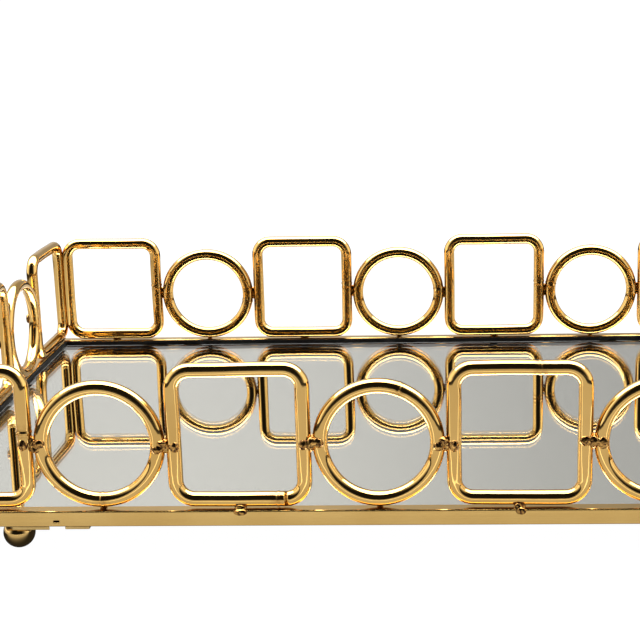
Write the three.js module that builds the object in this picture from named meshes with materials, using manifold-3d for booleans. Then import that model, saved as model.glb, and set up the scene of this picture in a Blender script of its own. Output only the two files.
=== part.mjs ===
// Dresser vanity tray: a mirror floor in a square-tube frame, fenced by a row of welded wire
// links that alternate between rounded squares and round rings, on four ball feet.
// Millimetres, +Z up, +X along the long side. The origin is on the surface that the tray
// stands on, under its middle.
import * as THREE from "three";
import { mergeVertices } from "three/addons/utils/BufferGeometryUtils.js";
import Module from "manifold-3d";

// ---- driving dimensions ----------------------------------------------------------------
const WIRE_D = 4.6; // round wire of every link
const SQUARE_W = 43.7; // rounded square link, outside, along the row
const SQUARE_H = 45.2; // and its height: these links are bent a little taller than wide
const SQUARE_R = 8.0; // its outside corner radius
const RING_D = 40.0; // round link, outside
const LINK_GAP = 0.3; // between neighbouring links, which spot welds bridge
const LINK_LIFT = 0.4; // between the frame and the links on it, which welds also bridge

const RAIL_W = 4.6; // tube of the frame, seen from above
const RAIL_H = 5.0;
const RAIL_WALL = 0.8;
const RAIL_OUT = 0.7; // the tube's centre lies this far outside the fence's plane
const MITRE_GAP = 0.15; // each mitred end stops this short of the corner's diagonal
const SLOT_FROM_CORNER = 55.3; // plating drain slot in the long tubes' outer wall
const SLOT_L = 1.9;
const SLOT_H = 0.55;
const SLOT_Z = 1.75; // above the tube's underside

const GLASS_T = 3.2; // mirror, silvered and painted underneath
const GLASS_DROP = 1.6; // its top lies this far below the frame's top
const GLASS_CLEAR = 0.4; // to the tube on every side
const FELT_T = 0.9; // felt pad glued to the mirror's painted back
const FELT_X = 140; // half its length and half its width
const FELT_Y = 88;

const BRACE_W = 9.6; // flat strip across each corner, under the frame
const BRACE_T = 1.2;
const BRACE_INSET = 0.8; // its ends stop this far inside the frame's outer faces
const FOOT_X = 40.3; // ball foot's axis from the frame's outer corner, along the long side
const FOOT_Y = 11.5; // and along the short side
const BRACE_RISE = 68.4 / 45.3; // the strip's run on the short side for each mm on the long
const TAB_FROM_CORNER = 61.6; // mirror tab under each long tube
const TAB_W = 7.5;
const TAB_L = 15.2;
const TAB_T = 1.0;

const BALL_R = 4.95; // ball foot
const BALL_FLAT = 0.2; // cap taken off its bottom, so that it stands flat
const BALL_TOP = 9.35; // flat top, against the strip
const BORE_R = 1.6;
const BORE_BOTTOM = 3.8;
const SCREW_R = 1.3; // countersunk foot screw
const HEAD_R = 2.75;
const FACE_GAP = 0.1; // between flat faces that rest on each other

// ---- derived heights and planes --------------------------------------------------------
const braceZ = BALL_TOP + FACE_GAP;
const railZ = braceZ + BRACE_T + FACE_GAP;
const railTop = railZ + RAIL_H;
const linkZ = railTop + LINK_LIFT;
const glassTop = railTop - GLASS_DROP;

const LONG_ROW = "SRSRSRS"; // S is a rounded square link, R a round one
const SHORT_ROW = "SRSRS";
const widthOf = { S: SQUARE_W, R: RING_D };
const rowLength = (row) =>
  [...row].reduce((sum, kind) => sum + widthOf[kind], 0) + LINK_GAP * (row.length - 1);

// The short rows run the full depth, and the long rows stand between them.
const fenceX = rowLength(LONG_ROW) / 2 + LINK_GAP + WIRE_D / 2;
const fenceY = rowLength(SHORT_ROW) / 2 - WIRE_D / 2;
const frameX = fenceX + RAIL_OUT + RAIL_W / 2;
const frameY = fenceY + RAIL_OUT + RAIL_W / 2;

// ---- materials -------------------------------------------------------------------------
const look = (color, roughness, metalness) =>
  new THREE.MeshStandardMaterial({ color, roughness, metalness });
const goldWire = look(0xd9ac62, 0.12, 1);
const goldTube = look(0xcfa562, 0.2, 1);
const goldStrip = look(0xb8945a, 0.35, 1);
const goldBall = look(0xc99f55, 0.1, 1);
const steelScrew = look(0xb9b9b4, 0.35, 1);
const mirror = look(0xd3d1ca, 0.03, 1);
const felt = look(0x1d1b1a, 1, 0);

const tray = new THREE.Group();
tray.name = "vanity_tray";

function add(name, geometry, material, x = 0, y = 0, z = 0, turn = 0) {
  const mesh = new THREE.Mesh(geometry, material);
  mesh.name = name;
  mesh.position.set(x, y, z);
  mesh.rotation.z = turn;
  tray.add(mesh);
  return mesh;
}

function indexed(vertices, triangles) {
  const geometry = new THREE.BufferGeometry();
  geometry.setAttribute("position", new THREE.Float32BufferAttribute(vertices, 3));
  geometry.setIndex(triangles);
  geometry.computeVertexNormals();
  return geometry;
}

// A closed wire link in the XZ plane, centred on the origin: a wire carried round a
// rectangle with rounded corners. Corners as large as half the link make a round ring.
function link(width, height, cornerR, steps, sides = 8) {
  const wire = WIRE_D / 2;
  const bend = cornerR - wire;
  const cx = width / 2 - cornerR;
  const cz = height / 2 - cornerR;
  const stations = [];
  for (let corner = 0; corner < 4; corner++) {
    const sx = corner === 0 || corner === 3 ? 1 : -1;
    const sz = corner < 2 ? 1 : -1;
    const last = cx > 0 ? steps : steps - 1; // a ring's corners share their end stations
    for (let i = 0; i <= last; i++) {
      const angle = ((corner + i / steps) * Math.PI) / 2;
      stations.push({
        out: [Math.cos(angle), Math.sin(angle)],
        at: [sx * cx + bend * Math.cos(angle), sz * cz + bend * Math.sin(angle)],
      });
    }
  }
  const vertices = [];
  for (const { out, at } of stations) {
    for (let k = 0; k < sides; k++) {
      const a = (k * 2 * Math.PI) / sides;
      const r = wire * Math.cos(a);
      vertices.push(at[0] + r * out[0], wire * Math.sin(a), at[1] + r * out[1]);
    }
  }
  const triangles = [];
  for (let i = 0; i < stations.length; i++) {
    const here = i * sides;
    const next = ((i + 1) % stations.length) * sides;
    for (let k = 0; k < sides; k++) {
      const k2 = (k + 1) % sides;
      triangles.push(here + k, here + k2, next + k, next + k, here + k2, next + k2);
    }
  }
  return indexed(vertices, triangles);
}

const squareLink = () => link(SQUARE_W, SQUARE_H, SQUARE_R, 4);
const roundLink = () => link(RING_D, RING_D, RING_D / 2, 6);

// Stands one row of links along X or Y, from its negative end to its positive end.
function fence(side, row, place, turn) {
  let along = -rowLength(row) / 2;
  let squares = 0;
  let rings = 0;
  for (const kind of row) {
    const centre = along + widthOf[kind] / 2;
    const [x, y] = place(centre);
    if (kind === "S") {
      const name = `link_square_${side}_${++squares}`;
      add(name, squareLink(), goldWire, x, y, linkZ + SQUARE_H / 2, turn);
    } else {
      const name = `link_round_${side}_${++rings}`;
      add(name, roundLink(), goldWire, x, y, linkZ + RING_D / 2, turn);
    }
    along += widthOf[kind] + LINK_GAP;
  }
}

fence("front", LONG_ROW, (s) => [s, -fenceY], 0);
fence("back", LONG_ROW, (s) => [s, fenceY], 0);
fence("left", SHORT_ROW, (s) => [-fenceX, s], Math.PI / 2);
fence("right", SHORT_ROW, (s) => [fenceX, s], Math.PI / 2);

// ---- frame -----------------------------------------------------------------------------
// A mitred length of square tube along X whose outer wall faces +Y. Its two ends are open,
// and each wall is as long as its distance from the tray's middle calls for.
function tube(outerLength) {
  const box = (half, tall) => [
    new THREE.Vector2(-half, -tall),
    new THREE.Vector2(half, -tall),
    new THREE.Vector2(half, tall),
    new THREE.Vector2(-half, tall),
  ];
  const section = new THREE.Shape(box(RAIL_W / 2, RAIL_H / 2));
  section.holes.push(new THREE.Path(box(RAIL_W / 2 - RAIL_WALL, RAIL_H / 2 - RAIL_WALL)));
  const geometry = new THREE.ExtrudeGeometry(section, { depth: 1, bevelEnabled: false });
  const position = geometry.getAttribute("position");
  for (let i = 0; i < position.count; i++) {
    const out = position.getX(i);
    const up = position.getY(i);
    const end = position.getZ(i) > 0.5 ? 1 : -1;
    const reach = outerLength / 2 - RAIL_W / 2 + out - MITRE_GAP * Math.SQRT2;
    position.setXYZ(i, end * reach, out, up);
  }
  geometry.computeVertexNormals();
  return geometry;
}

// manifold-3d joins and cuts closed solids.
const wasm = await Module();
wasm.setup();

function solid(geometry) {
  const bare = geometry.clone();
  bare.deleteAttribute("normal");
  bare.deleteAttribute("uv");
  const merged = mergeVertices(bare, 1e-4);
  return new wasm.Manifold(
    new wasm.Mesh({
      numProp: 3,
      vertProperties: new Float32Array(merged.getAttribute("position").array),
      triVerts: new Uint32Array(merged.getIndex().array),
    }),
  );
}

function meshOf(body) {
  const { vertProperties, triVerts } = body.getMesh();
  return indexed(Array.from(vertProperties), Array.from(triVerts));
}

// A long tube, with the drain slot that lets plating liquid out of it. From outside, the
// slot is near the tube's left end.
function slottedTube(outerLength) {
  const cutter = new THREE.BoxGeometry(SLOT_L, RAIL_WALL * 2, SLOT_H);
  const x = outerLength / 2 - SLOT_FROM_CORNER;
  cutter.translate(x, RAIL_W / 2, SLOT_Z - RAIL_H / 2);
  return meshOf(solid(tube(outerLength)).subtract(solid(cutter)));
}

const railMid = railZ + RAIL_H / 2;
const railY = frameY - RAIL_W / 2;
const railX = frameX - RAIL_W / 2;
add("rail_back", slottedTube(2 * frameX), goldTube, 0, railY, railMid, 0);
add("rail_front", slottedTube(2 * frameX), goldTube, 0, -railY, railMid, Math.PI);
add("rail_left", tube(2 * frameY), goldTube, -railX, 0, railMid, Math.PI / 2);
add("rail_right", tube(2 * frameY), goldTube, railX, 0, railMid, -Math.PI / 2);

// ---- mirror floor ----------------------------------------------------------------------
// A flat plate from a list of corners, with its underside at z = 0.
function plate(corners, thickness) {
  const shape = new THREE.Shape(corners.map(([x, y]) => new THREE.Vector2(x, y)));
  return new THREE.ExtrudeGeometry(shape, { depth: thickness, bevelEnabled: false });
}

const rectangle = (x, y) => [
  [-x, -y],
  [x, -y],
  [x, y],
  [-x, y],
];
const insideX = frameX - RAIL_W - GLASS_CLEAR;
const insideY = frameY - RAIL_W - GLASS_CLEAR;
const glass = plate(rectangle(insideX, insideY), GLASS_T);
add("mirror_plate", glass, mirror, 0, 0, glassTop - GLASS_T);

// ---- corner strips, feet and tabs ------------------------------------------------------
// One corner of the tray, at +X +Y. The strip crosses it on a slant, from under the long
// tube to under the short one, and the foot hangs from it near the long tube.
const footX = frameX - FOOT_X;
const footY = frameY - FOOT_Y;
const slope = Math.hypot(1, BRACE_RISE);
const dirX = 1 / slope;
const dirY = -BRACE_RISE / slope;

// Where the strip's centre line, moved aside by the given distance, meets y or x.
const sideX = (aside) => footX - dirY * aside;
const sideY = (aside) => footY + dirX * aside;
const meetY = (aside, y) => [sideX(aside) + ((y - sideY(aside)) * dirX) / dirY, y];
const meetX = (aside, x) => [x, sideY(aside) + ((x - sideX(aside)) * dirY) / dirX];

function brace() {
  const endX = frameX - BRACE_INSET;
  const endY = frameY - BRACE_INSET;
  const half = BRACE_W / 2;
  const corners = [meetX(-half, endX), meetX(half, endX), meetY(half, endY), meetY(-half, endY)];
  const shape = new THREE.Shape(corners.map(([x, y]) => new THREE.Vector2(x, y)));
  const hole = [];
  for (let i = 0; i < 16; i++) {
    const a = (-i * Math.PI) / 8;
    hole.push(new THREE.Vector2(footX + BORE_R * Math.cos(a), footY + BORE_R * Math.sin(a)));
  }
  shape.holes.push(new THREE.Path(hole));
  const geometry = new THREE.ExtrudeGeometry(shape, { depth: BRACE_T, bevelEnabled: false });
  // Open the hole's upper rim out into a countersink.
  const position = geometry.getAttribute("position");
  for (let i = 0; i < position.count; i++) {
    const x = position.getX(i) - footX;
    const y = position.getY(i) - footY;
    if (position.getZ(i) > BRACE_T / 2 && Math.hypot(x, y) < BORE_R + 0.1) {
      const grow = (HEAD_R + 0.35) / BORE_R;
      position.setXY(i, footX + x * grow, footY + y * grow);
    }
  }
  geometry.computeVertexNormals();
  return geometry;
}

function lathe(profile, segments = 16) {
  const points = profile.map(([r, z]) => new THREE.Vector2(r, z));
  const geometry = new THREE.LatheGeometry(points, segments);
  geometry.rotateX(Math.PI / 2); // the profile's height becomes Z
  return geometry;
}

// The ball stands on a small flat, and a flat top with a blind bore meets the strip.
function ballFoot() {
  const centre = BALL_R - BALL_FLAT;
  const profile = [[0, 0]];
  const from = -Math.acos(Math.sqrt(BALL_R ** 2 - centre ** 2) / BALL_R);
  const to = Math.asin((BALL_TOP - centre) / BALL_R);
  for (let i = 0; i <= 9; i++) {
    const a = from + ((to - from) * i) / 9;
    profile.push([BALL_R * Math.cos(a), centre + BALL_R * Math.sin(a)]);
  }
  profile[1][1] = 0; // exactly on the surface that the tray stands on
  profile[profile.length - 1][0] = Math.max(profile[profile.length - 1][0], BORE_R + 0.2);
  profile.push([BORE_R, BALL_TOP], [BORE_R, BORE_BOTTOM], [0, BORE_BOTTOM]);
  return lathe(profile);
}

function footScrew() {
  const head = braceZ + BRACE_T - FACE_GAP;
  return lathe([
    [0, BORE_BOTTOM + 0.4],
    [SCREW_R, BORE_BOTTOM + 0.4],
    [SCREW_R, braceZ + 0.15],
    [HEAD_R, head],
    [0, head],
  ]);
}

// Mirror a plate or a strip into another corner, keeping its faces pointing out.
function mirrored(geometry, sx, sy) {
  const copy = (geometry.index ? geometry.toNonIndexed() : geometry).clone();
  const position = copy.getAttribute("position");
  for (let i = 0; i < position.count; i++) {
    position.setX(i, position.getX(i) * sx);
    position.setY(i, position.getY(i) * sy);
  }
  if (sx * sy < 0) {
    for (let i = 0; i < position.count; i += 3) {
      const b = [position.getX(i + 1), position.getY(i + 1), position.getZ(i + 1)];
      position.setXYZ(i + 1, position.getX(i + 2), position.getY(i + 2), position.getZ(i + 2));
      position.setXYZ(i + 2, ...b);
    }
  }
  copy.computeVertexNormals();
  return copy;
}

const tabX = frameX - TAB_FROM_CORNER;
const tabEnd = frameY - BRACE_INSET;
const tab = () =>
  plate(
    [
      [tabX - TAB_W / 2, tabEnd - TAB_L],
      [tabX + TAB_W / 2, tabEnd - TAB_L],
      [tabX + TAB_W / 2, tabEnd],
      [tabX - TAB_W / 2, tabEnd],
    ],
    TAB_T,
  );

const cornersOfTray = {
  front_left: [-1, -1],
  front_right: [1, -1],
  back_left: [-1, 1],
  back_right: [1, 1],
};
for (const [corner, [sx, sy]] of Object.entries(cornersOfTray)) {
  add(`corner_brace_${corner}`, mirrored(brace(), sx, sy), goldStrip, 0, 0, braceZ);
  add(`ball_foot_${corner}`, ballFoot(), goldBall, sx * footX, sy * footY, 0);
  add(`foot_screw_${corner}`, footScrew(), steelScrew, sx * footX, sy * footY, 0);
  add(`mirror_tab_${corner}`, mirrored(tab(), sx, sy), goldStrip, 0, 0, railZ - FACE_GAP - TAB_T);
}

// The felt pad fills the underside between the strips and clears them and the tabs.
const clear = -(BRACE_W / 2 + 1.5);
const [cutX] = meetY(clear, FELT_Y);
const [, cutY] = meetX(clear, FELT_X);
const feltOutline = [
  [-cutX, -FELT_Y],
  [cutX, -FELT_Y],
  [FELT_X, -cutY],
  [FELT_X, cutY],
  [cutX, FELT_Y],
  [-cutX, FELT_Y],
  [-FELT_X, cutY],
  [-FELT_X, -cutY],
];
const feltZ = glassTop - GLASS_T - FACE_GAP / 2 - FELT_T;
add("felt_pad", plate(feltOutline, FELT_T), felt, 0, 0, feltZ);

export default tray;
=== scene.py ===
# %% [markdown]
# # A mirror tray with a fence of gold wire links
# The real tray is a welded thing. A frame of thin tube is mitred at its corners, a mirror
# lies in it, and a fence of closed wire links stands on it, rounded squares and
# round rings by turns. Ball feet hang from flat strips across the corners. All the metal is
# plated in one bath, so weld beads, tube and wire have the same gold.
#
# The CAD model gives nearly every size and place here. Each CAD piece is modelled again with
# rounder wire, bent corners, weld beads and a real finish, apart from the screws, which only
# get a finish.

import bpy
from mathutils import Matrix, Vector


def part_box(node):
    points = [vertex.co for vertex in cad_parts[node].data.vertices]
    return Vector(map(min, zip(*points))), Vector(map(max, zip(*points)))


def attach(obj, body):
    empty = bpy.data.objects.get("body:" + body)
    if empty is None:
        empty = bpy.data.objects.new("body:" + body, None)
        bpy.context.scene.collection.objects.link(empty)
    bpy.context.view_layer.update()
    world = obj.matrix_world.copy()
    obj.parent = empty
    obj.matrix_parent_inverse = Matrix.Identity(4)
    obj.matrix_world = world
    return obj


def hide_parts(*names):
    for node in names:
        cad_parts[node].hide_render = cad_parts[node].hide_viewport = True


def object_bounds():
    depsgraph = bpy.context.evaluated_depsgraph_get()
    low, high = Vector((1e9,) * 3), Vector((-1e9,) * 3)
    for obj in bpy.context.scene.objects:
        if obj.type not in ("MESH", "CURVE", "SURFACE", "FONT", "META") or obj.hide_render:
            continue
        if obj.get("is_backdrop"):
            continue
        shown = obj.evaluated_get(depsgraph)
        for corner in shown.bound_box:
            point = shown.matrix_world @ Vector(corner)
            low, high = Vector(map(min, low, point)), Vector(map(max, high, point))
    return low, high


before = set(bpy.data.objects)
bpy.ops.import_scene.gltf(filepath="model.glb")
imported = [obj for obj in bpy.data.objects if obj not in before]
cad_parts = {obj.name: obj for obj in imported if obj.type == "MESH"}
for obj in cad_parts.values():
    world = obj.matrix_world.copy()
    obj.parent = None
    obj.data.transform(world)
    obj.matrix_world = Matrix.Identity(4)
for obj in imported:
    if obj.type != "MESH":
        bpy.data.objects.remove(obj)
cad_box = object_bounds()
print("CAD box in metres", [[round(v, 4) for v in corner] for corner in cad_box])

# %% The tools
import math
import random

import bmesh
import bpy
from mathutils import Matrix, Vector

MM = 0.001
SIDES = ("front", "back", "left", "right")
CORNERS = ("front_left", "front_right", "back_left", "back_right")

# %% [markdown]
# ## Sizes that are read off the frame
# One front link gives the wire's thickness, the links' outlines and the plane that the
# front row stands in. The rail under it gives the tube's height and the frame's outline. The
# corner radius, the tube's width and its wall can't be read off a box, so they are typed in.

# %% Read the sizes
square_low, square_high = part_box("link_square_front_2")
ring_low, ring_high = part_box("link_round_front_1")
rail_low, rail_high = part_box("rail_front")
glass_low, glass_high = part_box("mirror_plate")
WIRE = (square_high.y - square_low.y) / 2
SQUARE = (square_high.x - square_low.x, square_high.z - square_low.z)
RING = ring_high.x - ring_low.x
CORNER = 8.0 * MM
TUBE, TALL = 4.6 * MM, rail_high.z - rail_low.z  # the tube's width and height
WALL = 0.8 * MM
BOW = 1.2 * MM  # how far the short rows bend inwards
FRAME_X, FRAME_Y = rail_high.x, -rail_low.y
print(f"wire {2000 * WIRE:.1f} mm, square {SQUARE[0] * 1000:.1f} x {SQUARE[1] * 1000:.1f},"
      f" ring {RING * 1000:.1f}, tube {TUBE * 1000:.1f} x {TALL * 1000:.1f}")

# %% [markdown]
# ## Where the viewer stands
# The tray is looked at from a little above, near one long side and close enough to see only
# its left half. A long lens keeps the links in the back row almost as big as the near ones.

# %% Camera
eye = Vector((0.01982, -0.5104, 0.17264))
turn, dip, roll = (math.radians(a) for a in (2.218, 13.655, -1.094))
ahead = Vector((-math.sin(turn) * math.cos(dip), math.cos(turn) * math.cos(dip), -math.sin(dip)))
right = Vector((math.cos(turn), math.sin(turn), 0))
up = right.cross(ahead)
across = math.cos(roll) * right + math.sin(roll) * up
upward = math.cos(roll) * up - math.sin(roll) * right
bpy.ops.object.camera_add(location=eye)
camera = bpy.context.object
camera.matrix_world = Matrix((across, upward, -ahead)).transposed().to_4x4()
camera.location = eye
camera.data.lens = 80.35
camera.data.sensor_width = 36
camera.data.shift_x = -0.109
camera.data.clip_start, camera.data.clip_end = 0.01, 60
bpy.context.scene.camera = camera
print("camera at", [round(v, 3) for v in eye], "lens", camera.data.lens)

# %% [markdown]
# ## Small helpers for working by hand
# An edit-mode operator works on whatever is selected, so each step first says which piece
# is in hand and then picks its points, edges or faces by where they are.

# %% Pick up a piece
def only(piece):
    """Select this piece and nothing else."""
    bpy.ops.object.select_all(action="DESELECT")
    piece.select_set(True)
    bpy.context.view_layer.objects.active = piece


def edit(piece):
    only(piece)
    bpy.ops.object.mode_set(mode="EDIT")
    bpy.ops.mesh.select_all(action="SELECT")


def done():
    bpy.ops.object.mode_set(mode="OBJECT")


def pick(piece, kind, wanted):
    """In edit mode, select the verts, edges or faces that wanted says yes to."""
    bpy.ops.mesh.select_mode(type={"verts": "VERT", "edges": "EDGE", "faces": "FACE"}[kind])
    bpy.ops.mesh.select_all(action="DESELECT")
    shape = bmesh.from_edit_mesh(piece.data)
    found = [e for e in getattr(shape, kind) if wanted(e)]
    for e in found:
        e.select = True
    shape.select_flush_mode()
    bmesh.update_edit_mesh(piece.data)
    return len(found)


def settle(piece):
    """Write the piece's place and turn into its mesh."""
    only(piece)
    bpy.ops.object.transform_apply(location=True, rotation=True, scale=True)
    return piece


def apply(piece, kind, **settings):
    """Add a modifier to the piece and apply it."""
    only(piece)
    modifier = piece.modifiers.new(kind.lower(), kind)
    for name, value in settings.items():
        setattr(modifier, name, value)
    bpy.ops.object.modifier_apply(modifier=modifier.name)


def soft_edges(piece, angle, flat_above):
    """Shade smooth up to an angle, but keep faces larger than flat_above quite flat."""
    only(piece)
    bpy.ops.object.shade_smooth_by_angle(angle=math.radians(angle))
    for face in piece.data.polygons:
        if face.area > flat_above:
            face.use_smooth = False


def another(piece, name):
    """A copy with its own mesh."""
    copy = piece.copy()
    copy.data = piece.data.copy()
    copy.name = copy.data.name = name
    bpy.context.scene.collection.objects.link(copy)
    return copy


def middle(node):
    low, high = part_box(node)
    return (low + high) / 2


def bowed(spot):
    """Shift a spot on a short row inwards, most of all half-way along it."""
    spot.x -= math.copysign((1 - (spot.y / FRAME_Y) ** 2) * BOW, spot.x)

# %% [markdown]
# ## Hand-made unevenness
# Wire that was bent on a jig and welded by hand is never quite true. A cloud texture pushes
# each finished link about by a tenth of a millimetre or so. Because the clouds are fixed in
# space and the links aren't, no two copies come out alike.

# %% Uneven by a little
def clouds(name, size, colour=False):
    texture = bpy.data.textures.new(name, "CLOUDS")
    texture.noise_scale = size
    texture.noise_depth = 1
    texture.cloud_type = "COLOR" if colour else "GRAYSCALE"
    return texture


slow_clouds = clouds("slow_clouds", 26 * MM, colour=True)
weld_clouds = clouds("weld_clouds", 1.1 * MM)


def hand_bent(piece):
    apply(piece, "DISPLACE", texture=slow_clouds, texture_coords="LOCAL",
          direction="RGB_TO_XYZ", strength=0.5 * MM, mid_level=0.5)

# %% [markdown]
# ## A bent and butt-welded wire link
# A link is one length of wire, bent round four corners until its ends meet, and welded
# there. The model is made the same way: a ring of points round the wire starts at the weld,
# is drawn forward for each straight run and spun for each corner, and comes back to where it
# began. The runs by the weld are short, so that the weld can bulge.

# %% Draw the wire
ROUND = 28  # points round the wire
BEND_STEPS, RING_STEPS = 9, 70
STRAIGHT_STEP = 2.2 * MM
BY_WELD = [0.25 * MM, 0.25 * MM, 0.35 * MM, 0.6 * MM, 1.0 * MM]  # steps away from a weld
BUTT = ((0, 1.055), (0.25, 1.05), (0.5, 0.985), (0.85, 0.975), (1.45, 1.01))  # mm away, swell
HEAT = 4.5 * MM  # how far from a weld the plate is burnt


def heading(quarter):
    """Direction along the bottom, right, top or left side, going round from the front."""
    return Vector(((1, 0, 0), (0, 0, 1), (-1, 0, 0), (0, 0, -1))[quarter % 4])


def cut_end(name, at, quarter):
    """The wire's cut end: an open ring of points at a place, square to its heading."""
    bpy.ops.object.select_all(action="DESELECT")
    bpy.ops.mesh.primitive_circle_add(
        vertices=ROUND, radius=WIRE, fill_type="NOTHING", location=at,
        rotation=(0, math.radians(90 - 90 * quarter), 0))
    piece = bpy.context.object
    piece.name = piece.data.name = name
    edit(settle(piece))
    return piece


def draw(length, quarter, first, last):
    """Draw the wire forward by a length, in short steps next to a weld."""
    rest = length - sum(first) - sum(last)
    count = max(1, round(rest / STRAIGHT_STEP))
    for step in [*first, *[rest / count] * count, *last]:
        bpy.ops.mesh.extrude_edges_move(
            TRANSFORM_OT_translate={"value": heading(quarter) * step})


def close_wire(piece, at, quarter):
    """Join the two ends, and give the joint the bulge and the groove of a butt weld."""
    bpy.ops.mesh.select_all(action="SELECT")
    bpy.ops.mesh.remove_doubles(threshold=0.01 * MM)
    bpy.ops.mesh.normals_make_consistent(inside=False)
    along = heading(quarter)
    for away, swell in BUTT:
        for way in ((-1, 1) if away else (1,)):
            spot = at + along * away * MM * way
            pick(piece, "verts", lambda v: (v.co - spot).length < WIRE * 1.3
                 and abs((v.co - spot).dot(along)) < 0.06 * MM)
            bpy.ops.transform.resize(value=(swell,) * 3, center_override=spot)
    done()
    marks = piece.data.attributes.new("near_weld", "FLOAT", "POINT")
    for v in piece.data.vertices:
        far = (v.co - at).length
        marks.data[v.index].value = max(0.0, 1 - far / HEAT) ** 0.7
    bpy.ops.object.shade_smooth()
    return piece

# %% [markdown]
# ### The rounded square
# Four patterns are enough, each with its weld in another place: half-way up a side, near a
# lower corner, on top or underneath, which is how they come off the bench.

# %% Square patterns
def square_link(name, quarter, past_middle):
    bend = CORNER - WIRE
    half = (SQUARE[0] / 2 - WIRE, SQUARE[1] / 2 - WIRE)
    along, aside = (half[0], half[1]) if quarter % 2 == 0 else (half[1], half[0])
    inward = heading(quarter + 1)
    weld = heading(quarter) * past_middle - inward * aside
    piece = cut_end(name, weld, quarter)
    at = weld
    for side in range(5):
        way = quarter + side
        reach = (half[0] if way % 2 == 0 else half[1]) - bend
        if side == 0:
            length, first, last = reach - past_middle, BY_WELD, ()
        elif side == 4:
            length, first, last = reach + past_middle, (), BY_WELD[::-1]
        else:
            length, first, last = 2 * reach, (), ()
        draw(length, way, first, last)
        at = at + heading(way) * length
        if side < 4:
            centre = at + heading(way + 1) * bend
            bpy.ops.mesh.spin(steps=BEND_STEPS, angle=math.pi / 2, center=centre, axis=(0, 1, 0))
            at = centre + heading(way) * bend
    return close_wire(piece, weld, quarter)


square_patterns = {
    "side": square_link("square_side_weld", 1, 1.5 * MM),
    "low": square_link("square_low_weld", 0, 11.5 * MM),
    "top": square_link("square_top_weld", 2, -6 * MM),
    "foot": square_link("square_foot_weld", 0, -3 * MM),
}
print("square pattern:", len(square_patterns["side"].data.vertices), "points")

# %% [markdown]
# ### The round ring
# The ring is the same idea with one long spin. It starts at the bottom, beside its weld, and
# each copy is rolled about its own centre to bring the weld where it belongs.

# %% Ring pattern
def ring_link(name):
    middle_line = RING / 2 - WIRE
    weld = Vector((0, 0, -middle_line))
    piece = cut_end(name, weld, 0)
    for step in (*BY_WELD, None, *BY_WELD[::-1]):
        if step is None:
            angle, count = 2 * math.pi - 2 * sum(BY_WELD) / middle_line, RING_STEPS
        else:
            angle, count = step / middle_line, 1
        bpy.ops.mesh.spin(steps=count, angle=angle, center=(0, 0, 0), axis=(0, 1, 0))
    return close_wire(piece, weld, 0)


ring_pattern = ring_link("ring_pattern")
print("ring pattern:", len(ring_pattern.data.vertices), "points")

# %% [markdown]
# ## Stand the fence up
# Every link goes where its CAD node is. A row on a short side is turned a quarter, and the
# heat of its welds has bowed it inwards by about a millimetre in the middle. Each link leans
# and twists by a fraction of a degree, and then the clouds bend it a little.

# %% Place the links
chance = random.Random(41)
gold_wire_pieces = []
welds_seen = {
    "link_square_front_2": "low", "link_square_front_1": "side", "link_square_front_3": "top",
    "link_square_left_2": "top", "link_square_back_1": "side", "link_square_back_2": "side",
    "link_square_back_3": "side",
}
rolls_seen = {"link_round_front_1": 0, "link_round_front_2": 160, "link_round_back_1": 80,
              "link_round_back_2": 95, "link_round_left_1": -85}
tray_links = sorted(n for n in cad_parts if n.startswith("link_"))
for node in tray_links:
    if "square" in node:
        pattern = square_patterns[welds_seen.get(node) or chance.choice(sorted(square_patterns))]
        rolled = 0
    else:
        pattern = ring_pattern
        some_roll = chance.choice((0, 75, 100, 180, 260))
        rolled = math.radians(rolls_seen.get(node, some_roll))
    link = another(pattern, node.replace("link_", "wire_"))
    lean = Matrix.Rotation(math.radians(chance.uniform(-0.35, 0.35)), 4, "X")
    twist = 90 if "left" in node or "right" in node else 0
    twist += chance.uniform(-0.4, 0.4)
    spot = middle(node)
    if twist > 45:
        bowed(spot)
        slope = math.atan(2 * BOW * spot.y / FRAME_Y ** 2)
        twist += math.copysign(1, spot.x) * math.degrees(slope)
    link.matrix_world = (Matrix.Translation(spot) @ Matrix.Rotation(math.radians(twist), 4, "Z")
                         @ lean @ Matrix.Rotation(-rolled, 4, "Y"))
    settle(link)
    hand_bent(link)
    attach(link, "root")
    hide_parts(node)
    gold_wire_pieces.append(link)
for pattern in [*square_patterns.values(), ring_pattern]:
    bpy.data.objects.remove(pattern)
print(len(gold_wire_pieces), "links stand on the frame")

# %% [markdown]
# ## Weld beads
# Neighbouring links are welded together at the height of the rings' middles, from outside,
# and each link is tacked to the tube. A weld is a few drops of metal that ran together. Here
# each is three or four lumps, joined and skinned over into one, with a rough surface from a
# cloud texture. A few are made and then copied, each turned and sized its own way.

# %% Make the drops of weld
GRAIN = 0.16 * MM


def weld_drop(name, lumps):
    parts = []
    for place, size in lumps:
        bpy.ops.object.select_all(action="DESELECT")
        bpy.ops.mesh.primitive_ico_sphere_add(
            subdivisions=3, radius=1 * MM, location=[v * MM for v in place], scale=size)
        parts.append(settle(bpy.context.object))
    only(parts[0])
    for part in parts:
        part.select_set(True)
    bpy.ops.object.join()
    drop = bpy.context.object
    drop.name = drop.data.name = name
    apply(drop, "REMESH", mode="VOXEL", voxel_size=GRAIN)
    apply(drop, "SMOOTH", iterations=4, factor=0.5)
    apply(drop, "DISPLACE", texture=weld_clouds, texture_coords="LOCAL", direction="NORMAL",
          strength=0.36 * MM, mid_level=0.5)
    apply(drop, "SMOOTH", iterations=1, factor=0.4)
    only(drop)
    bpy.ops.object.shade_smooth()
    return drop


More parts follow.
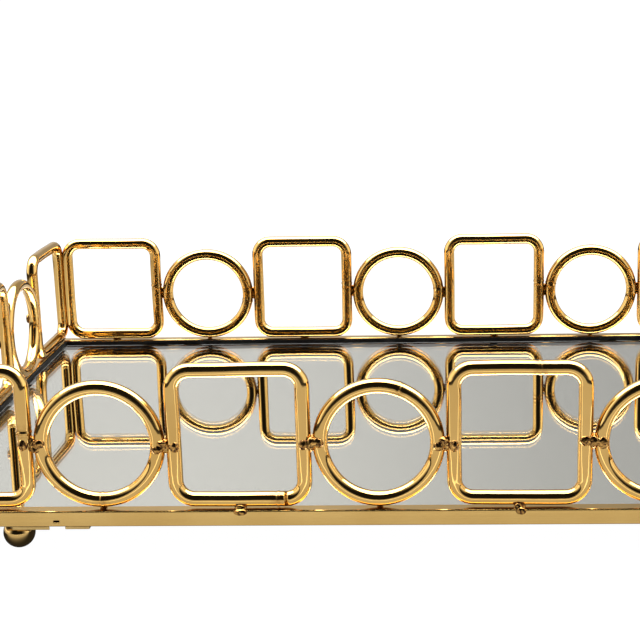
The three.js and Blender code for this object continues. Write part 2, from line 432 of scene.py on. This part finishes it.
smears = [
    weld_drop("smear_a", [((-2.3, 0.5, 0.3), (1.7, 0.95, 1.3)),
                          ((2.4, 0.45, -0.2), (1.6, 0.9, 1.5)),
                          ((0, 0.7, 0.1), (1.6, 1.0, 1.5)), ((0.1, 1.6, -0.1), (1.3, 1.1, 1.9))]),
    weld_drop("smear_b", [((-2.1, 0.45, -0.4), (1.8, 0.9, 1.2)), ((2.2, 0.5, 0.4), (1.5, 1.0, 1.2)),
                          ((0.2, 0.6, 0), (1.5, 1.0, 1.6)), ((0, 1.6, 0.2), (1.3, 1.1, 2.0))]),
    weld_drop("smear_c", [((-2.4, 0.5, 0), (1.4, 0.9, 1.5)), ((1.9, 0.4, 0.5), (1.7, 0.85, 1.1)),
                          ((0.9, 0.6, -0.9), (1.5, 0.9, 0.9)), ((0, 1.5, 0), (1.4, 1.2, 1.9))]),
]
tacks = [
    weld_drop("tack_a", [((0, 0.0, -0.5), (1.7, 0.75, 0.9)), ((0.1, 0.75, 0.5), (1.3, 0.8, 1.1)),
                         ((0, 1.7, 0.2), (1.5, 1.2, 1.2))]),
    weld_drop("tack_b", [((0.3, 0.05, -0.4), (1.4, 0.8, 1.0)), ((-0.5, 0.6, 0.2), (1.2, 0.8, 1.2)),
                         ((0, 1.7, 0.2), (1.6, 1.2, 1.2))]),
]
print("a smear has", len(smears[0].data.polygons), "faces")

# %% [markdown]
# ### Where they go
# A smear fills the groove between two wires and runs over the outer side of both. A tack
# fills the gap under a square link and runs down over the tube's rounded edge. A ring's tack
# is smaller and stays under the wire.

# %% Put the drops in place
FACING = {"front": 0, "right": 90, "back": 180, "left": -90}
OUTWARD = {"front": (0, -1, 0), "back": (0, 1, 0), "left": (-1, 0, 0), "right": (1, 0, 0)}


def put_drop(patterns, side, place, flip=0, stretch=(1.25, 1, 1.1)):
    drop = another(chance.choice(patterns), "drop")
    size = [v * chance.uniform(0.9, 1.1) for v in stretch]
    drop.matrix_world = (Matrix.Translation(place)
                         @ Matrix.Rotation(math.radians(FACING[side]), 4, "Z")
                         @ Matrix.Rotation(math.radians(flip + chance.uniform(-9, 9)), 4, "Y")
                         @ Matrix.Diagonal((*size, 1)))
    return settle(drop)


ring_height = middle("link_round_front_1").z
for side in SIDES:
    row = sorted((n for n in tray_links if f"_{side}_" in n),
                 key=lambda n: middle(n).x if side in ("front", "back") else middle(n).y)
    out = Vector(OUTWARD[side])
    beads = []
    for one, other in zip(row, row[1:]):
        spot = middle(one)
        halfway = (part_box(one)[1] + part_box(other)[0]) / 2
        if side in ("front", "back"):
            spot.x = halfway.x
        else:
            spot.y = halfway.y
            bowed(spot)
        spot.z = ring_height + chance.uniform(-0.6, 0.6) * MM
        beads.append(put_drop(smears, side, spot + out * (WIRE + 0.1 * MM),
                              chance.choice((0, 180)), (1.1, 1.15, 1.4)))
    for node in row:
        spot = middle(node)
        spot.z = rail_high.z
        if "square" in node:
            beads.append(put_drop(tacks, side, spot + out * 2.9 * MM))
        else:
            beads.append(put_drop(tacks, side, spot + out * 0.4 * MM, 0, (0.7, 0.6, 0.5)))
    only(beads[0])
    for bead in beads:
        bead.select_set(True)
    bpy.ops.object.join()
    bead = bpy.context.object
    bead.name = bead.data.name = f"weld_beads_{side}"
    marks = bead.data.attributes.new("near_weld", "FLOAT", "POINT")
    for point in marks.data:
        point.value = 0.8
    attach(bead, "root")
    gold_wire_pieces.append(bead)
    print(bead.name, len(beads), "drops,", len(bead.data.polygons), "faces")
for drop in (*smears, *tacks):
    bpy.data.objects.remove(drop)

# %% [markdown]
# ## The frame tube
# The frame is drawn tube, nearly square, with soft edges, cut at 45 degrees and welded. The
# section is drawn first: a plane, its corners rounded, its middle inset and cut out. It is
# extruded along the length, and each end is bisected on the slant and bridged between its
# outer and inner edges. The long tubes have a slot near one end, where plating liquid drains
# out.

# %% Draw a tube
SEAM = 0.04 * MM  # how much shorter each mitred end is cut
EDGE = 0.5 * MM


def mitred_tube(name, length):
    """A tube along X whose outer wall faces -Y, centred on the origin."""
    bpy.ops.object.select_all(action="DESELECT")
    bpy.ops.mesh.primitive_plane_add(size=1, location=(-length / 2 - 2 * MM, 0, 0),
                                     rotation=(0, math.pi / 2, 0))
    tube = bpy.context.object
    tube.scale = (TALL, TUBE, 1)
    tube.name = tube.data.name = name
    edit(settle(tube))
    bpy.ops.mesh.bevel(offset=EDGE, segments=5, affect="VERTICES")
    pick(tube, "faces", lambda f: True)
    bpy.ops.mesh.inset(thickness=WALL)
    bpy.ops.mesh.delete(type="FACE")
    bpy.ops.mesh.select_all(action="SELECT")
    bpy.ops.mesh.extrude_region_move(TRANSFORM_OT_translate={"value": (length + 4 * MM, 0, 0)})
    for end in (-1, 1):
        corner = Vector((end * (length / 2 - SEAM), -TUBE / 2, 0))
        bpy.ops.mesh.select_all(action="SELECT")
        bpy.ops.mesh.bisect(plane_co=corner, plane_no=Vector((end, 1, 0)).normalized(),
                            clear_outer=True)
        pick(tube, "edges", lambda e: e.is_boundary and e.verts[0].co.x * end > 0)
        bpy.ops.mesh.bridge_edge_loops()
    bpy.ops.mesh.select_all(action="SELECT")
    bpy.ops.mesh.remove_doubles(threshold=0.001 * MM)
    bpy.ops.mesh.normals_make_consistent(inside=False)
    done()
    return tube

# %% [markdown]
# ### The drain slot
# A small bar with rounded ends is subtracted from the outer wall, and the slot's rim is
# bevelled, because the punch leaves it soft and the plating makes it softer.

# %% Punch the slot
SLOT = (1.9 * MM, 1.7 * MM, 0.55 * MM)  # length, depth, height
SLOT_ALONG, SLOT_UP = 55.3 * MM, 1.75 * MM  # from the tube's end and from its underside


def punch_slot(tube, length):
    place = Vector((-length / 2 + SLOT_ALONG, -TUBE / 2, -TALL / 2 + SLOT_UP))
    bpy.ops.object.select_all(action="DESELECT")
    bpy.ops.mesh.primitive_cube_add(size=1, location=place, scale=SLOT)
    punch = bpy.context.object
    edit(settle(punch))
    pick(punch, "edges", lambda e: abs((e.verts[0].co - e.verts[1].co).y) > 1 * MM)
    bpy.ops.mesh.bevel(offset=0.22 * MM, segments=3, affect="EDGES")
    done()
    apply(tube, "BOOLEAN", operation="DIFFERENCE", object=punch, solver="EXACT")
    bpy.data.objects.remove(punch)
    edit(tube)
    rim = pick(tube, "edges", lambda e: all(
        abs(v.co.y + TUBE / 2) < 0.002 * MM and abs(v.co.x - place.x) < 1.0 * MM
        and abs(v.co.z - place.z) < 0.3 * MM for v in e.verts))
    bpy.ops.mesh.bevel(offset=0.22 * MM, segments=4, affect="EDGES")
    done()
    return rim


long_tube = mitred_tube("long_tube", 2 * FRAME_X)
print("slot rim:", punch_slot(long_tube, 2 * FRAME_X), "edges")
short_tube = mitred_tube("short_tube", 2 * FRAME_Y)
tube_pieces = {}
for side, quarter in (("front", 0), ("right", 1), ("back", 2), ("left", 3)):
    tube = another(long_tube if quarter % 2 == 0 else short_tube, f"tube_{side}")
    tube.matrix_world = (Matrix.Translation(middle(f"rail_{side}"))
                         @ Matrix.Rotation(quarter * math.pi / 2, 4, "Z"))
    soft_edges(settle(tube), 40, 20 * MM * MM)
    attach(tube, "root")
    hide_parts(f"rail_{side}")
    tube_pieces[side] = tube
for pattern in (long_tube, short_tube):
    bpy.data.objects.remove(pattern)
print("tubes:", {s: len(t.data.polygons) for s, t in tube_pieces.items()})

# %% [markdown]
# ## The mirror
# A mirror of this kind is float glass with silver behind it and brown paint behind the
# silver. Because the silver is under the glass, everything that stands by it shows
# twice, faintly from the top of the glass and strongly from the silver. So the glass is a
# real slab with its sharp edges taken off, and the silver with its paint is a thin sheet
# under it.

# %% Glass and silver
def slab(name, low, high, edge):
    bpy.ops.object.select_all(action="DESELECT")
    size = high - low
    bpy.ops.mesh.primitive_cube_add(size=1, location=(low + high) / 2, scale=size)
    piece = bpy.context.object
    piece.name = piece.data.name = name
    edit(settle(piece))
    bpy.ops.mesh.bevel(offset=edge, segments=1, affect="EDGES")
    done()
    bpy.ops.object.shade_flat()
    return piece


silver_top = glass_low.z + 0.035 * MM
glass_bottom = silver_top + 0.015 * MM
glass = slab("mirror_glass", Vector((glass_low.x, glass_low.y, glass_bottom)), glass_high,
             0.3 * MM)
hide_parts("mirror_plate")
silver = slab("mirror_silver", glass_low + Vector((0.5, 0.5, 0)) * MM,
              Vector((glass_high.x - 0.5 * MM, glass_high.y - 0.5 * MM, silver_top)), 0.01 * MM)
for piece in (glass, silver):
    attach(piece, "root")
print("glass", [round(v * 1000, 2) for v in glass.dimensions], "mm")

# %% [markdown]
# ### The dark bedding line
# The glass is bedded in black sealant, which fills the gap to the tube and climbs its inner
# wall nearly to the rounded edge. From the front it reads as a black line along the tubes.
# It is a plane the size of the opening, inset by the line's width, with its middle taken
# out and the rest extruded upwards.

# %% Lay the sealant
SEAL_WIDE = 0.62 * MM
SEAL_SHY = 0.45 * MM  # how far below the tube's top it ends
LOOSE = 0.02 * MM


def lies_along_a_side(edge):
    a, b = (v.co for v in edge.verts)
    return abs(a.x - b.x) * abs(a.y - b.y) < 1e-9


def bedding():
    half = (FRAME_X - TUBE - LOOSE, FRAME_Y - TUBE - LOOSE)
    bottom = glass_low.z + 0.2 * MM
    bpy.ops.object.select_all(action="DESELECT")
    bpy.ops.mesh.primitive_plane_add(size=2, location=(0, 0, bottom))
    line = bpy.context.object
    line.scale = (*half, 1)
    line.name = line.data.name = "mirror_seal"
    edit(settle(line))
    bpy.ops.mesh.inset(thickness=SEAL_WIDE)
    bpy.ops.mesh.delete(type="FACE")
    bpy.ops.mesh.select_all(action="SELECT")
    top = rail_high.z - SEAL_SHY
    bpy.ops.mesh.extrude_region_move(TRANSFORM_OT_translate={"value": (0, 0, top - bottom)})
    bpy.ops.mesh.select_all(action="SELECT")
    bpy.ops.mesh.normals_make_consistent(inside=False)
    pick(line, "edges", lambda e: all(abs(v.co.z - top) < 0.001 * MM for v in e.verts)
         and lies_along_a_side(e))
    bpy.ops.mesh.bevel(offset=0.14 * MM, segments=2, affect="EDGES")
    done()
    return line


seal = bedding()
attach(seal, "root")
print("seal", len(seal.data.polygons), "faces")

# %% [markdown]
# ## Strips, tabs and felt
# These are flat things whose outlines the CAD has right: the strips that carry the feet, the
# tabs that keep the mirror in, and the felt under it. Each is a copy of its CAD mesh, merged
# into whole faces, with its edges rounded as a press or shears leave them.

# %% Copy and soften a flat piece
def from_cad(node, name):
    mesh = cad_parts[node].data.copy()
    mesh.materials.clear()
    piece = bpy.data.objects.new(name, mesh)
    bpy.context.scene.collection.objects.link(piece)
    only(piece)
    bpy.ops.mesh.customdata_custom_splitnormals_clear()
    edit(piece)
    bpy.ops.mesh.remove_doubles(threshold=0.002 * MM)
    bpy.ops.mesh.dissolve_limited(angle_limit=math.radians(3))
    bpy.ops.mesh.normals_make_consistent(inside=False)
    done()
    return piece


strip_pieces = []
for corner in CORNERS:
    for node, name, edge in ((f"corner_brace_{corner}", f"strip_{corner}", 0.22 * MM),
                             (f"mirror_tab_{corner}", f"tab_{corner}", 0.2 * MM)):
        piece = from_cad(node, name)
        apply(piece, "BEVEL", width=edge, segments=3, limit_method="ANGLE",
              angle_limit=math.radians(35))
        soft_edges(piece, 35, 4 * MM * MM)
        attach(piece, "root")
        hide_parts(node)
        strip_pieces.append(piece)
print(len(strip_pieces), "strips and tabs")

# %% [markdown]
# ### The felt
# The felt is cut by hand from a roll, so its edge wanders a little and is soft. Here the edge is
# only rounded and smooth-shaded.

# %% Cut the felt
felt = from_cad("felt_pad", "felt_sheet")
edit(felt)
bpy.ops.mesh.subdivide(number_cuts=5)
done()
apply(felt, "BEVEL", width=0.25 * MM, segments=2, limit_method="ANGLE",
      angle_limit=math.radians(50))
only(felt)
bpy.ops.object.shade_smooth_by_angle(angle=math.radians(50))
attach(felt, "root")
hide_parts("felt_pad")
print("felt", len(felt.data.polygons), "faces")

# %% [markdown]
# ## Ball feet
# A foot is a turned ball with a small flat ground on it to stand on, and a flat top that is
# drawn up against its strip by the screw. A sphere is cut by two planes, the cuts are filled,
# and their edges are rounded a little.

# %% Turn a ball
GRIND = 0.2 * MM  # what the grinder takes off the bottom
CLEAR_LOW, CLEAR_HIGH = 0.065 * MM, 0.07 * MM  # room for the bulge of a rounded edge


def ball_foot(node, name):
    low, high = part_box(node)
    radius = (high.x - low.x) / 2
    centre = Vector(((low.x + high.x) / 2, (low.y + high.y) / 2, radius - GRIND))
    bpy.ops.object.select_all(action="DESELECT")
    bpy.ops.mesh.primitive_uv_sphere_add(segments=56, ring_count=40, radius=radius,
                                         location=centre)
    ball = bpy.context.object
    ball.name = ball.data.name = name
    edit(settle(ball))
    for height, way in ((low.z + CLEAR_LOW, -1), (high.z - CLEAR_HIGH, 1)):
        bpy.ops.mesh.select_all(action="SELECT")
        bpy.ops.mesh.bisect(plane_co=(0, 0, height), plane_no=(0, 0, way), clear_outer=True,
                            use_fill=True)
        pick(ball, "edges", lambda e: all(abs(v.co.z - height) < 0.001 * MM for v in e.verts))
        bpy.ops.mesh.bevel(offset=0.12 * MM, segments=3, affect="EDGES")
    bpy.ops.mesh.select_all(action="SELECT")
    bpy.ops.mesh.normals_make_consistent(inside=False)
    done()
    bpy.ops.object.shade_smooth_by_angle(angle=math.radians(50))
    return ball


ball_pieces = []
for corner in CORNERS:
    ball = ball_foot(f"ball_foot_{corner}", f"ball_{corner}")
    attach(ball, "root")
    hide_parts(f"ball_foot_{corner}")
    ball_pieces.append(ball)
print(len(ball_pieces), "balls,", len(ball_pieces[0].data.polygons), "faces each")

# %% [markdown]
# # Finishes
# Shader maths is easier to read as sums. The class below wraps one socket: adding or
# multiplying two of them adds the Math node that does it.

# %% Sums of sockets
class Sock:
    def __init__(self, tree, socket):
        self.tree, self.socket = tree, socket

    def node(self, kind, settings=None, inputs=None, output=0):
        """Add a node: its settings first, then its sockets' values and links."""
        made = self.tree.nodes.new(kind)
        for name, value in (settings or {}).items():
            setattr(made, name, value)
        for name, value in (inputs or {}).items():
            if isinstance(value, Sock):
                self.tree.links.new(value.socket, made.inputs[name])
            else:
                made.inputs[name].default_value = value
        return Sock(self.tree, made.outputs[output]) if made.outputs else None

    def math(self, operation, a, b=0.0):
        return self.node("ShaderNodeMath", {"operation": operation}, {0: a, 1: b})

    def __add__(self, other): return self.math("ADD", self, other)
    def __radd__(self, other): return self.math("ADD", other, self)
    def __sub__(self, other): return self.math("SUBTRACT", self, other)
    def __rsub__(self, other): return self.math("SUBTRACT", other, self)
    def __mul__(self, other): return self.math("MULTIPLY", self, other)
    def __rmul__(self, other): return self.math("MULTIPLY", other, self)
    def __truediv__(self, other): return self.math("DIVIDE", self, other)
    def __rtruediv__(self, other): return self.math("DIVIDE", other, self)

    def between(self, low, high):
        """0 below low, 1 above high, and a soft step between."""
        return self.node("ShaderNodeMapRange", {"interpolation_type": "SMOOTHSTEP"},
                         {"Value": self, "From Min": low, "From Max": high})

    def size(self):
        return self.math("ABSOLUTE", self)


def mix(factor, a, b):
    """Colour a where factor is 0, colour b where it is 1."""
    a, b = ((*c, 1) if isinstance(c, tuple) and len(c) == 3 else c for c in (a, b))
    return factor.node("ShaderNodeMix", {"data_type": "RGBA"}, {0: factor, 6: a, 7: b}, 2)

# %% [markdown]
# ## A finish starts from where the point is
# Every pattern reads Object coordinates, in metres. The pieces all sit at the origin, so a
# noise of scale 200 has grains of about 5 mm anywhere on the tray.

# %% Start a material
def finish(name):
    material = bpy.data.materials.new(name)
    material.use_nodes = True
    tree = material.node_tree
    tree.nodes.clear()
    place = Sock(tree, tree.nodes.new("ShaderNodeTexCoord").outputs["Object"])
    return material, place


def noise(place, scale, detail=2.0, rough=0.5):
    return place.node("ShaderNodeTexNoise", {}, {
        "Vector": place, "Scale": scale, "Detail": detail, "Roughness": rough})


def stretched(place, x, y, z):
    return place.node("ShaderNodeVectorMath", {"operation": "MULTIPLY"}, {0: place, 1: (x, y, z)})


def bump(height, depth, after=None):
    """Push the surface in and out by up to depth metres."""
    inputs = {"Height": height, "Distance": depth, "Strength": 1.0}
    if after is not None:
        inputs["Normal"] = after
    return height.node("ShaderNodeBump", {}, inputs)


def surface(place, material, **sockets):
    shader = place.node("ShaderNodeBsdfPrincipled", {},
                        {name.replace("_", " "): value for name, value in sockets.items()})
    place.node("ShaderNodeOutputMaterial", {}, {"Surface": shader})
    return material


def coat(material, pieces):
    for piece in pieces:
        piece.data.materials.clear()
        piece.data.materials.append(material)

# %% [markdown]
# ## Polished gold wire
# Gold plate on polished wire is nearly a mirror. What makes it look like metal is that its
# reflections waver: the wire was rolled, bent and buffed, so it has slow waves some 5 mm
# long and finer ones inside them. Near a weld the plate is redder, darker and rougher.

# %% Gold wire
wire_gold, place = finish("gold_wire")
by_weld = place.node("ShaderNodeAttribute", {"attribute_name": "near_weld"}, {}, "Fac")
drift = noise(place, 45, 3)
specks = noise(place, 900, 3, 0.6)
dull = (by_weld * (0.35 + noise(place, 700, 2))).between(0.15, 0.9)
gold = mix(drift.between(0.3, 0.7), (0.62, 0.38, 0.115), (0.69, 0.44, 0.145))
gold = mix(dull, gold, (0.36, 0.185, 0.05))
burnt = (by_weld * noise(place, 1100, 3, 0.65)).between(0.36, 0.50)
gold = mix(burnt, gold, (0.060, 0.024, 0.010))
waves = bump(noise(place, 170, 2), 0.055 * MM)
ripples = bump(noise(place, 900, 3) * (0.10 + by_weld * 0.8), 0.030 * MM, after=waves)
surface(place, wire_gold, Base_Color=gold, Metallic=1.0,
        Roughness=0.045 + specks * 0.05 + dull * 0.12, Normal=ripples)
coat(wire_gold, gold_wire_pieces)
print("gold wire on", len(gold_wire_pieces), "pieces")

# %% [markdown]
# ## Satin gold tube
# The tube was brushed along its length before plating. Noise stretched along the tube gives
# the brushing, for the front and back along X and for the other two along Y.

# %% Gold tube
def tube_gold(name, along):
    material, place = finish(name)

    def brushed(long, short):
        return stretched(place, *((long, short) if along == "x" else (short, long)), short)

    lines = noise(brushed(12, 2600), 1, 3, 0.6)
    broad = noise(brushed(9, 420), 1, 2)
    drift = noise(place, 40, 3)
    gold = mix(drift.between(0.3, 0.7), (0.61, 0.39, 0.125), (0.68, 0.45, 0.155))
    gold = mix(lines.between(0.35, 0.75) * 0.22, gold, (0.42, 0.26, 0.075))
    return surface(place, material, Base_Color=gold, Metallic=1.0,
                   Roughness=0.09 + broad * 0.05 + lines * 0.05,
                   Normal=bump(lines, 0.004 * MM, after=bump(noise(place, 110, 2), 0.03 * MM)))


for along, sides in (("x", ("front", "back")), ("y", ("left", "right"))):
    coat(tube_gold(f"gold_tube_{along}", along), [tube_pieces[s] for s in sides])

# %% [markdown]
# ## Strip, ball, screw
# The strips come from the same bath but were never buffed. The balls were. Low down they
# are darker and rougher in patches: partly scuffs from sliding on the dresser, partly painted
# shade for the shadowed table that they reflect. The screws are bare steel, turned, with the
# fine circles that the lathe leaves.

# %% Strips
strip_gold, place = finish("gold_strip")
cloudy = noise(place, 130, 4, 0.6)
grit = noise(place, 2200, 3, 0.6)
surface(place, strip_gold, Metallic=1.0,
        Base_Color=mix(cloudy.between(0.35, 0.7), (0.50, 0.33, 0.115), (0.62, 0.43, 0.17)),
        Roughness=0.26 + cloudy * 0.12 + grit * 0.05,
        Normal=bump(grit, 0.008 * MM, after=bump(cloudy, 0.05 * MM)))
coat(strip_gold, strip_pieces)

# %% Balls
ball_gold, place = finish("gold_ball")
height = place.node("ShaderNodeSeparateXYZ", {}, {0: place}, "Z")
# Painted shade: dark, rough patches in the lowest 2.4 mm of each ball, partly also scuffs.
painted_shade_low = 1 - height.between(0.4 * MM, 2.4 * MM)
scuffs_and_painted_shade = (noise(place, 1500, 4, 0.7) * painted_shade_low).between(0.3, 0.6)
surface(place, ball_gold, Metallic=1.0,
        Base_Color=mix(scuffs_and_painted_shade, (0.60, 0.385, 0.135), (0.40, 0.24, 0.08)),
        Roughness=0.05 + noise(place, 600, 3) * 0.04 + scuffs_and_painted_shade * 0.2,
        Normal=bump(noise(place, 260, 2), 0.02 * MM))
coat(ball_gold, ball_pieces)

# %% Screws
steel, place = finish("screw_steel")
grain = noise(stretched(place, 400, 400, 9000), 1, 3, 0.6)
surface(place, steel, Metallic=1.0,
        Base_Color=mix(grain, (0.40, 0.40, 0.39), (0.60, 0.60, 0.58)),
        Roughness=0.28 + grain * 0.12, Normal=bump(grain, 0.01 * MM))
coat(steel, [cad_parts[f"foot_screw_{corner}"] for corner in CORNERS])

# %% [markdown]
# ## Mirror glass, silver and paint
# The glass is clear with the faintest grey-green and has a trace of wipe marks in its gloss.
# The silver sheet is metal on its upper face only. Its underside is the brown backing paint.

# %% Glass
clear, place = finish("mirror_glass")
wiped = noise(stretched(place, 26, 60, 60), 1, 3, 0.55)
surface(place, clear,
        Base_Color=mix(noise(place, 12, 1), (0.965, 0.975, 0.962), (0.975, 0.98, 0.97)),
        Roughness=wiped.between(0.55, 0.9) * 0.012, IOR=1.5, Transmission_Weight=1.0)
coat(clear, [glass])

# %% Silver and paint
silvering, place = finish("mirror_silver")
height = place.node("ShaderNodeSeparateXYZ", {}, {0: place}, "Z")
upper = height.between(silver_top - 0.012 * MM, silver_top - 0.004 * MM)
paint = mix(noise(place, 300, 4, 0.6).between(0.3, 0.7),
            (0.075, 0.05, 0.035), (0.11, 0.078, 0.055))
surface(place, silvering, Base_Color=mix(upper, paint, (0.93, 0.92, 0.875)), Metallic=upper,
        Roughness=0.45 - upper * 0.445)
coat(silvering, [silver])

# %% Black sealant
sealant, place = finish("sealant")
surface(place, sealant,
        Base_Color=mix(noise(place, 500, 2), (0.006, 0.006, 0.006), (0.014, 0.013, 0.012)),
        Roughness=0.75 + noise(place, 900, 2) * 0.2, Normal=bump(noise(place, 350, 2), 0.05 * MM),
        Specular_IOR_Level=0.12)
coat(sealant, [seal])

# %% [markdown]
# ## Felt
# Felt has no weave. It is short fibres pressed every way, so two noises of different grain
# give its lumps and its hairs, and sheen gives the pale edge that fuzz shows.

# %% Felt
fuzz, place = finish("felt")
hairs = noise(stretched(place, 1, 1, 3), 3800, 4, 0.7)
lumps = noise(place, 420, 3)
surface(place, fuzz,
        Base_Color=mix(hairs.between(0.3, 0.75), (0.008, 0.0075, 0.007), (0.04, 0.037, 0.034)),
        Roughness=0.9 + lumps * 0.1, Sheen_Weight=0.35, Sheen_Roughness=0.5,
        Normal=bump(hairs, 0.12 * MM, after=bump(lumps, 0.2 * MM)))
coat(fuzz, [felt])

# %% [markdown]
# # The studio
# Polished metal shows nothing but the room. Here the tray stands on a white table under one
# large soft light that hangs overhead and reaches backwards. Behind the tray is a light grey
# wall that darkens to the right, and the walls at both sides are brighter. In front, where the
# viewer stands, the room is dark. That dark room draws the thin black line beside the bright
# one along every level wire. The room is painted on the World, by direction.

# %% The room
LAMP = 10.0  # how many times brighter than white the lamp is


def room():
    world = bpy.data.worlds.new("studio")
    bpy.context.scene.world = world
    world.use_nodes = True
    tree = world.node_tree
    tree.nodes.clear()
    way = Sock(tree, tree.nodes.new("ShaderNodeTexCoord").outputs["Generated"])
    x, y, z = (way.node("ShaderNodeSeparateXYZ", {}, {0: way}, axis) for axis in "XYZ")
    above = z.between(-0.004, 0.004)
    level = way.math("SQRT", x * x + y * y + 1e-6)
    front = (0 - y) / level
    dark = front.between(0.50, 0.86) * (1 - z.between(0.95, 0.975))
    sides = (1 - front.size().between(0.25, 0.72)) * (1 - z.between(0.5, 0.7))
    wall = 0.74 - x.between(-0.2, 0.18) * 0.28 + (1 - z.between(0.0, 0.3)) * 0.05
    wall = wall + sides * 1.2
    wall = wall * (1 - dark) + 0.015 * dark
    high = z.math("MAXIMUM", z, 0.02)
    u, v = x / high, y / high
    lamp = (1 - u.size().between(1.34, 1.48)) * v.between(-0.31, -0.25)
    lamp = lamp * (1 - v.between(0.72, 0.84))
    lamp = lamp * above
    light = wall * (1 - lamp) + LAMP * lamp
    light = light * above + (1 - above) * 1.0
    tint = mix(lamp, (1.0, 0.985, 0.955, 1.0), (1, 1, 1, 1))
    back = way.node("ShaderNodeBackground", {}, {"Color": tint, "Strength": light})
    way.node("ShaderNodeOutputWorld", {}, {"Surface": back})


room()

# %% [markdown]
# ## The table
# To the camera the table is clean white, as in a cut-out product picture. What the metal
# sees is a table that glows with painted light and shade: a painted shadow under the tray,
# then even light, one narrow painted band of brighter light round the tray, and dark again
# where the painted light ends. The Light Path node tells the two apart.

# %% What the table sends up
bpy.ops.object.select_all(action="DESELECT")
bpy.ops.mesh.primitive_plane_add(size=24, location=(0, 0, -0.05 * MM))
table = bpy.context.object
table.name = "table"
white, place = finish("white_table")
x, y = (place.node("ShaderNodeSeparateXYZ", {}, {0: place}, axis).size() for axis in "XY")
past_x = x.math("MAXIMUM", x - (FRAME_X - 9 * MM), 0.0)
past_y = x.math("MAXIMUM", y - (FRAME_Y - 9 * MM), 0.0)
past = x.math("SQRT", past_x * past_x + past_y * past_y)
# Painted light and shade: a painted shadow under the tray, a painted band of brighter light round
# it, fading to dark far off.
painted_light_band = past.between(55 * MM, 60 * MM) * (1 - past.between(63 * MM, 70 * MM))
painted_shadow_edge = 0.04 + past.between(1 * MM, 18 * MM) * 0.82
painted_table_glow = (painted_shadow_edge + painted_light_band * 2.0) * (1 - past.between(220 * MM, 300 * MM) * 0.93)
# Only reflected rays see this painted glow. No lamp casts it.
seen = place.node("ShaderNodeBsdfPrincipled", {}, {
    "Base Color": (0, 0, 0, 1), "Specular IOR Level": 0.0, "Emission Color": painted_table_glow,
    "Emission Strength": 1.0})
clean = place.node("ShaderNodeBsdfPrincipled", {}, {
    "Base Color": mix(noise(place, 30, 2), (0.040, 0.040, 0.040), (0.045, 0.045, 0.045)),
    "Roughness": 0.9, "Specular IOR Level": 0.0, "Emission Color": (1, 1, 1, 1),
    "Emission Strength": 1.0})
camera_sees = place.node("ShaderNodeLightPath", {}, {}, "Is Camera Ray")
both = place.node("ShaderNodeMixShader", {}, {0: camera_sees, 1: seen, 2: clean})
place.node("ShaderNodeOutputMaterial", {}, {"Surface": both})
coat(white, [table])
table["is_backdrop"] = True
bpy.context.scene.view_settings.view_transform = "Standard"
bpy.context.scene.view_settings.look = "None"

# %% [markdown]
# # Check the size
# The visual pieces have to fill the same box as the CAD model. The largest difference
# between their box and the CAD box is printed.

# %% Finish
look_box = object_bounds()
apart = max(abs(a - b) for c, l in zip(cad_box, look_box) for a, b in zip(c, l))
print("largest difference", apart * 1000, "mm")
